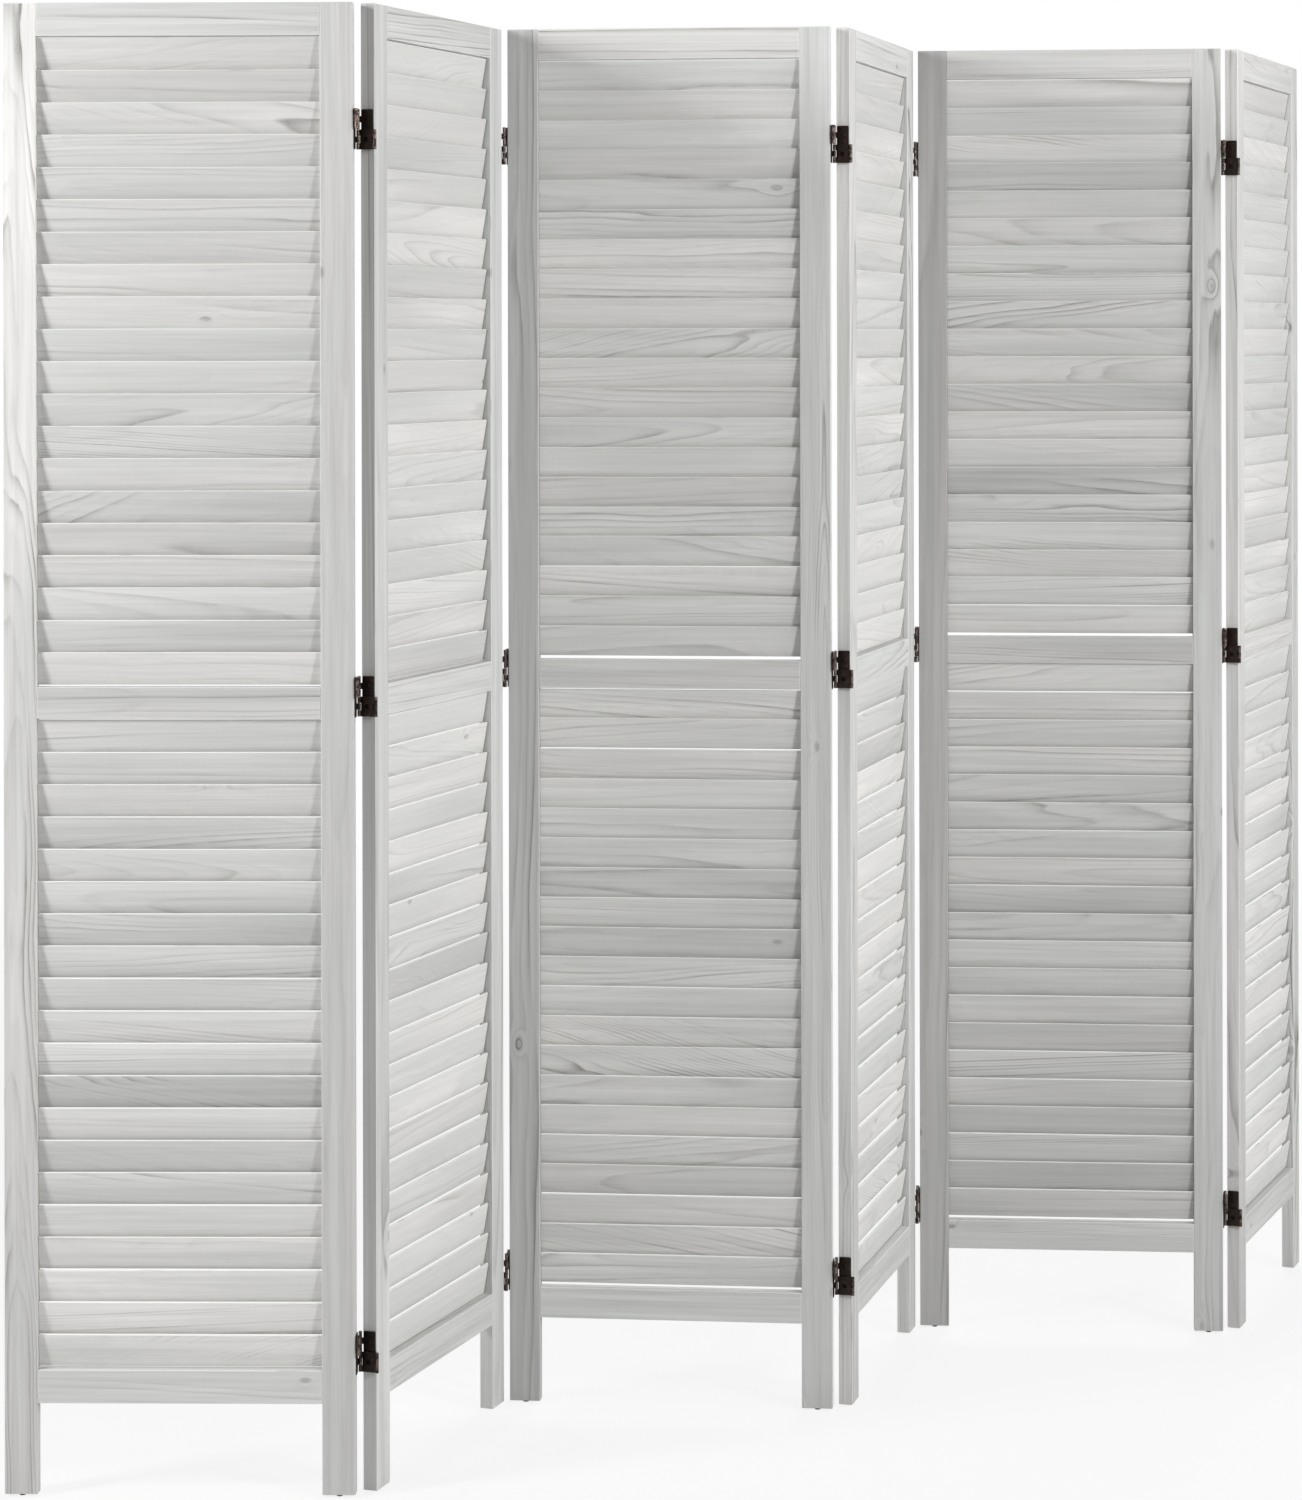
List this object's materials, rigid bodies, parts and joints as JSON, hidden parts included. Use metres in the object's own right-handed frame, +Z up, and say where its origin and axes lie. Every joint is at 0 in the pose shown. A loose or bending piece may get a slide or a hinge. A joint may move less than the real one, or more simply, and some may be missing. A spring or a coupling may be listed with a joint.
{
  "type": "folding screen",
  "caption": "Free-standing folding room divider of tall louvred wooden panels with legs, joined by two-way screen hinges and set in a zigzag.",
  "frame": {"origin": "on the floor, under the middle of the standing screen's bounding box", "axes": "+X along the first panel from its free edge to its hinges, +Y from the front to the back, +Z up"},
  "size_m": [1.6361, 1.1513, 1.7],
  "materials": {
    "frame": "whitewashed, matt, long grain",
    "slats": "whitewashed, matt, long grain",
    "hinge": "dark bronze, satin",
    "glide": "moulded, matt"
  },
  "bodies": {
    "panel_1": {"panel_1_left_stile": "frame", "panel_1_right_stile": "frame", "panel_1_top_rail": "frame", "panel_1_bottom_rail": "frame", "panel_1_louvre": "slats", "hinge_1_2_top_left_side": "hinge", "hinge_1_2_middle_left_side": "hinge", "hinge_1_2_bottom_left_side": "hinge"},
    "panel_2": {"panel_2_left_stile": "frame", "panel_2_right_stile": "frame", "panel_2_top_rail": "frame", "panel_2_bottom_rail": "frame", "panel_2_louvre": "slats", "hinge_2_3_top_left_side": "hinge", "hinge_2_3_middle_left_side": "hinge", "hinge_2_3_bottom_left_side": "hinge", "hinge_1_2_top_right_side": "hinge", "hinge_1_2_middle_right_side": "hinge", "hinge_1_2_bottom_right_side": "hinge"},
    "panel_3": {"panel_3_left_stile": "frame", "panel_3_right_stile": "frame", "panel_3_top_rail": "frame", "panel_3_bottom_rail": "frame", "panel_3_louvre": "slats", "hinge_3_4_top_left_side": "hinge", "hinge_3_4_middle_left_side": "hinge", "hinge_3_4_bottom_left_side": "hinge", "hinge_2_3_top_right_side": "hinge", "hinge_2_3_middle_right_side": "hinge", "hinge_2_3_bottom_right_side": "hinge"},
    "panel_4": {"panel_4_left_stile": "frame", "panel_4_right_stile": "frame", "panel_4_top_rail": "frame", "panel_4_bottom_rail": "frame", "panel_4_louvre": "slats", "hinge_4_5_top_left_side": "hinge", "hinge_4_5_middle_left_side": "hinge", "hinge_4_5_bottom_left_side": "hinge", "hinge_3_4_top_right_side": "hinge", "hinge_3_4_middle_right_side": "hinge", "hinge_3_4_bottom_right_side": "hinge"},
    "panel_5": {"panel_5_left_stile": "frame", "panel_5_right_stile": "frame", "panel_5_top_rail": "frame", "panel_5_bottom_rail": "frame", "panel_5_louvre": "slats", "hinge_5_6_top_left_side": "hinge", "hinge_5_6_middle_left_side": "hinge", "hinge_5_6_bottom_left_side": "hinge", "hinge_4_5_top_right_side": "hinge", "hinge_4_5_middle_right_side": "hinge", "hinge_4_5_bottom_right_side": "hinge"},
    "panel_6": {"panel_6_left_stile": "frame", "panel_6_right_stile": "frame", "panel_6_top_rail": "frame", "panel_6_bottom_rail": "frame", "panel_6_louvre": "slats", "hinge_5_6_top_right_side": "hinge", "hinge_5_6_middle_right_side": "hinge", "hinge_5_6_bottom_right_side": "hinge"}
  },
  "joints": [
    {"name": "fold_1_2", "type": "hinge", "parent": "panel_1", "child": "panel_2", "pos_m": [-0.41437, -0.55317, 0.909], "axis": [0, 0, 1], "range_deg": [-72, 108]},
    {"name": "fold_2_3", "type": "hinge", "parent": "panel_2", "child": "panel_3", "pos_m": [-0.26882, -0.17189, 0.909], "axis": [0, 0, -1], "range_deg": [-77, 103]},
    {"name": "fold_3_4", "type": "hinge", "parent": "panel_3", "child": "panel_4", "pos_m": [0.13902, -0.18689, 0.909], "axis": [0, 0, 1], "range_deg": [-81, 99]},
    {"name": "fold_4_5", "type": "hinge", "parent": "panel_4", "child": "panel_5", "pos_m": [0.25761, 0.20362, 0.909], "axis": [0, 0, -1], "range_deg": [-80, 100]},
    {"name": "fold_5_6", "type": "hinge", "parent": "panel_5", "child": "panel_6", "pos_m": [0.66566, 0.19573, 0.909], "axis": [0, 0, 1], "range_deg": [-74.5, 105.5]}
  ]
}
